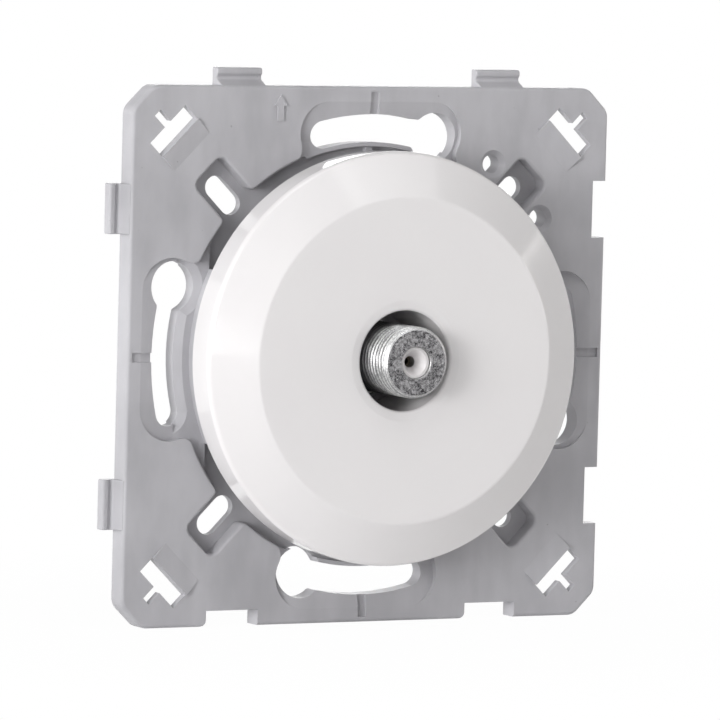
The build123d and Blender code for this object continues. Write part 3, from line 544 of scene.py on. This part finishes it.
# %% A grid of points becomes faces
def grid_faces(rows, columns):
    """Quads between neighbours in a grid whose rows close into rings."""
    row, column = np.meshgrid(np.arange(rows - 1), np.arange(columns), indexing="ij")
    here = row * columns + column
    beside = row * columns + (column + 1) % columns
    return np.stack([here, beside, beside + columns, here + columns], axis=-1).reshape(-1, 4)


def smooth_piece(name, points, faces, finish, body, crease):
    """A mesh object through these points, smooth except along edges sharper than the crease."""
    mesh = bpy.data.meshes.new(name)
    mesh.from_pydata(points.tolist(), [], faces)
    mesh.shade_smooth()
    mesh.set_sharp_from_angle(angle=radians(crease))
    mesh.materials.append(finish)
    piece = bpy.data.objects.new(name, mesh)
    bpy.context.scene.collection.objects.link(piece)
    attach(piece, body)
    return piece


print("a 3 x 4 ring grid has", len(grid_faces(3, 4)), "faces")


# %% [markdown]
# ## The thread of the jack
#
# The solid's barrel is a plain cylinder as thick as the thread's crests. The real one carries a fine
# right-handed thread of 32 turns to the inch, so that a cable's nut can be screwed on. Subdividing a
# cylinder and displacing it would make the same shape slowly. Here the radius is written down directly.
# The rest of the die-cast box is kept from the solid: its mesh is copied, its doubled points are merged,
# and only the triangles of the barrel's outside and end face give way to the grid.

# %% Cut the thread
pitch = 25.4 * MM / 32
thread_depth = 0.30 * MM
edge = 0.10 * MM        # small bevel round the mouth of the bore
root_start = 0.86       # where the flank reaches the root, as a share of half a turn from the crest
flank_width = 0.60      # of the same half turn
fade_turns = 1.5        # at the inner end of the barrel
thread_columns = 132
rows_per_turn = 12


def thread_height(phase):
    """1 on the flat crest, 0 in the narrower root, and a softened straight flank between them."""
    from_crest = abs(2 * (phase % 1) - 1)
    flank = np.clip((root_start - from_crest) / flank_width, 0, 1)
    return flank**2 * (3 - 2 * flank)


def jack_surface():
    """Rows go from the bore outwards over the end face and then back along the barrel. The angle is
    measured from Z towards X. On the barrel the radius is the crest's, less the thread's depth times
    one minus its height at the phase, depth over pitch less the turn's share of the angle. A cone of
    45 degrees that starts at the rim cuts the first turns, and the thread fades out at the root."""
    length = root_y - barrel_end
    angle = np.arange(thread_columns) / thread_columns * 2 * pi
    lip_r = [bore_r + edge / 4, bore_r, bore_r + edge, bore_r + 2 * edge]
    face_r = np.array(lip_r + [rim_r - edge, rim_r - edge / 4])
    face_y = np.array([edge * 1.5, edge, 0, 0, 0, 0.05 * edge])
    back = np.linspace(edge / 4, length, int(length / pitch * rows_per_turn))[:, None]
    fade = np.clip((length - back) / (fade_turns * pitch), 0, 1)
    thread_r = barrel_r - thread_depth * fade * (1 - thread_height(back / pitch - angle / (2 * pi)))
    barrel = np.minimum(thread_r, rim_r + back)
    under = np.full((1, thread_columns), barrel_r)
    radius = np.vstack([np.repeat(face_r[:, None], thread_columns, axis=1), barrel, under])
    along = barrel_end + np.vstack([face_y[:, None], back, back[-1:] + edge])
    along = np.broadcast_to(along, radius.shape)
    return np.stack([radius * np.sin(angle), along, radius * np.cos(angle)], axis=-1)


thread_grid = jack_surface()
print("points in the grid of the barrel:", thread_grid.shape[:2])


# %% Put the barrel in place of the plain one
corner_r = housing_radius[housing_triangles]
corner_y = housing_points[housing_triangles, 1]
outside = (corner_r.max(axis=1) > bore_r + slack) & (corner_r.max(axis=1) < barrel_r + slack)
cut_away = outside & (corner_y.max(axis=1) < root_y + slack)
lip = on_end & (housing_radius < bore_r + slack)
housing_points[lip, 1] += edge
thread_faces = grid_faces(*thread_grid.shape[:2]) + len(housing_points)
jack = smooth_piece(
    "threaded_jack",
    np.vstack([housing_points, thread_grid.reshape(-1, 3)]),
    housing_triangles[~cut_away].tolist() + thread_faces.tolist(),
    cast_metal,
    "socket",
    40,
)
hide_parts("jack_housing")
print("turns:", round((root_y - barrel_end) / pitch, 1), "faces:", len(jack.data.polygons))


# %% [markdown]
# ## The coil on its ring
#
# The solid shows five stiff loops on the ferrite ring. The real coil is one length of lacquered wire
# that goes through the ring and round it again and again, so each turn leans towards the next. That is
# a tube along a path, and the path is a rounded rectangle that moves round the ring as it is drawn.

# %% Wind the coil
coil_turns = 5
coil_spread = radians(150)
wire_r = 0.2 * MM
squareness = 0.55       # of each loop: 1 is an ellipse, and near 0 is a rectangle
hole_share = 0.465      # radius of the ring's hole against its outside
ring_middle = np.array((core_low + core_high) / 2)
ring_r = (core_high.x - core_low.x) / 2
loop_middle = ring_r * (1 + hole_share) / 2
winding_reach = ring_middle[0] - winding_low.x - loop_middle


def tube(path, side, radius, columns=14):
    """A round tube: each row is a ring of points about the path, in the plane of two directions, the
    side given and the one square to both it and the path. The radius shrinks to close both ends."""
    along = np.gradient(path, axis=0)
    along /= np.linalg.norm(along, axis=1, keepdims=True)
    across = np.cross(side, along)
    across /= np.linalg.norm(across, axis=1, keepdims=True)
    lean = np.cross(along, across)
    around = (np.arange(columns) / columns * 2 * pi)[None, :, None]
    ring = across[:, None] * np.cos(around) + lean[:, None] * np.sin(around)
    size = np.full((len(path), 1, 1), radius)
    size[[0, -1]] *= 0.01
    return path[:, None] + ring * size


def coil_path(steps_per_turn=48):
    """The middle of the wire. At time t, in turns, the wire is at angle 2 pi t on a loop that is nearly
    a rectangle: its half sides are multiplied by the cosine and sine raised to the power squareness,
    sign kept. The loop stands on the ring in the direction that sweeps from one end of the coil to the
    other."""
    t = np.linspace(0, coil_turns, coil_turns * steps_per_turn)
    loop = 2 * pi * t + pi / 2
    outward = pi + coil_spread * (t / coil_turns - 0.5)
    soft = [np.sign(wave) * abs(wave) ** squareness for wave in (np.cos(loop), np.sin(loop))]
    half_width = winding_reach - wire_r
    half_depth = (winding_high.y - winding_low.y) / 2 - wire_r
    radius = loop_middle + half_width * soft[0]
    direction = np.stack([np.cos(outward), 0 * t, np.sin(outward)], axis=-1)
    path = ring_middle + radius[:, None] * direction
    path[:, 1] += half_depth * soft[1]
    side = np.stack([-np.sin(outward), 0 * t, np.cos(outward)], axis=-1)
    return path, side


coil_grid = tube(*coil_path(), wire_r)
coil_faces = grid_faces(*coil_grid.shape[:2]).tolist()
enamel = plain_metals["wire_enamel"]
coil = smooth_piece("wound_coil", coil_grid.reshape(-1, 3), coil_faces, enamel, "socket", 60)
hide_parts("core_winding")
print("wire faces:", len(coil.data.polygons))


# %% [markdown]
# ## Stage and light
#
# The picture shows the socket on pure white, lit softly from its left. The tones of its flat faces
# say how the lamps stand: faces that look left are brightest, the cover's front is a little darker,
# and its right bevel is darker again and faintly warm. Each lamp was first rendered by itself, and
# the levels were then worked out so that their sum gives the tones of the plate and the cover. Two
# lamps behind keep the box and its lid readable from the back and hardly reach the front.
#
# The world and the floor look plain white to the camera and in reflections through the Light Path
# node, so the background needs no light of its own, and the world itself lights nothing.

# %% World
world = bpy.data.worlds.new("studio")
bpy.context.scene.world = world
world.use_nodes = True
studio = Nodes(world.node_tree)
backdrop = studio.tree.nodes["Background"]
backdrop.inputs["Color"].default_value = (1.0, 1.0, 1.0, 1.0)
shown = (studio.ray("Camera") + studio.ray("Glossy") + studio.ray("Transmission")).capped(1.0)
plug(studio.tree, backdrop.inputs["Strength"], shown)
print("nodes of the world:", len(studio.tree.nodes))


# %% Lamps
def softbox(name, direction, distance, size, level, tint=(1.0, 1.0, 1.0)):
    """A square lamp that faces the socket from this direction. At level 1 a white sheet that faces it
    would look just white: the power for that is 4 pi times the square of the distance."""
    data = bpy.data.lights.new(name, "AREA")
    data.shape = "SQUARE"
    data.size = size
    data.energy = level * 4 * pi * distance**2
    data.color = tint
    lamp = bpy.data.objects.new(name, data)
    aim = Vector(direction).normalized()
    lamp.matrix_world = Matrix.Translation(aim * distance) @ aim.to_track_quat("Z", "Y").to_matrix().to_4x4()
    bpy.context.scene.collection.objects.link(lamp)
    return lamp


lamps = [
    softbox("left_softbox", (-0.90, -0.42, 0.10), 0.9, 0.3, 0.48),
    softbox("left_front_softbox", (-0.66, -0.75, 0.10), 0.9, 0.3, 0.10),
    softbox("left_high_softbox", (-0.80, -0.38, 0.46), 0.9, 0.3, 0.10),
    softbox("top_softbox", (-0.05, -0.35, 0.93), 0.8, 0.5, 0.17),
    softbox("top_right_softbox", (0.37, -0.56, 0.72), 0.9, 0.5, 0.10),
    softbox("right_softbox", (0.91, -0.38, 0.10), 0.9, 0.4, 0.17, (1.0, 0.975, 0.955)),
    softbox("back_left_softbox", (-0.78, 0.62, 0.05), 0.9, 0.6, 0.44),
    softbox("back_right_softbox", (0.55, 0.83, 0.05), 0.9, 0.6, 0.50),
]
print("lamps:", [lamp.name for lamp in lamps])


# %% Floor
floor_drop = 0.02 * MM
floor_level = plate_low.z - floor_drop
floor_reach = 1.5
shadow_reach = 0.1      # from the middle of the socket, the distance at which the shadow has gone
shadow_share = 0.04     # how much of the shaded paper shows right under the socket
floor_mesh = bpy.data.meshes.new("floor")
corners = [(x * floor_reach, y * floor_reach, floor_level) for x, y in ((-1, -1), (1, -1), (1, 1), (-1, 1))]
floor_mesh.from_pydata(corners, [], [(0, 1, 2, 3)])
floor = bpy.data.objects.new("floor", floor_mesh)
bpy.context.scene.collection.objects.link(floor)

paper = Finish("white_paper")
floor_mesh.materials.append(paper.shade(base_color=(0.9, 0.9, 0.9, 1.0), roughness=0.9))
distance = paper.node("ShaderNodeVectorMath", {"operation": "LENGTH"}, {0: paper.place}, out="Value")
plain_white = 1 - shadow_share + (distance / shadow_reach).capped(1.0) * shadow_share
seen = (paper.ray("Camera") + paper.ray("Glossy")).capped(1.0)
glow = paper.node("ShaderNodeEmission")
shaded = Wire(paper.tree, paper.shader.outputs[0])
mixed = paper.node("ShaderNodeMixShader", inputs={"Fac": seen * plain_white, 1: shaded, 2: glow})
plug(paper.tree, paper.tree.nodes["Material Output"].inputs["Surface"], mixed)
print("floor at, mm:", round(floor_level / MM, 2))
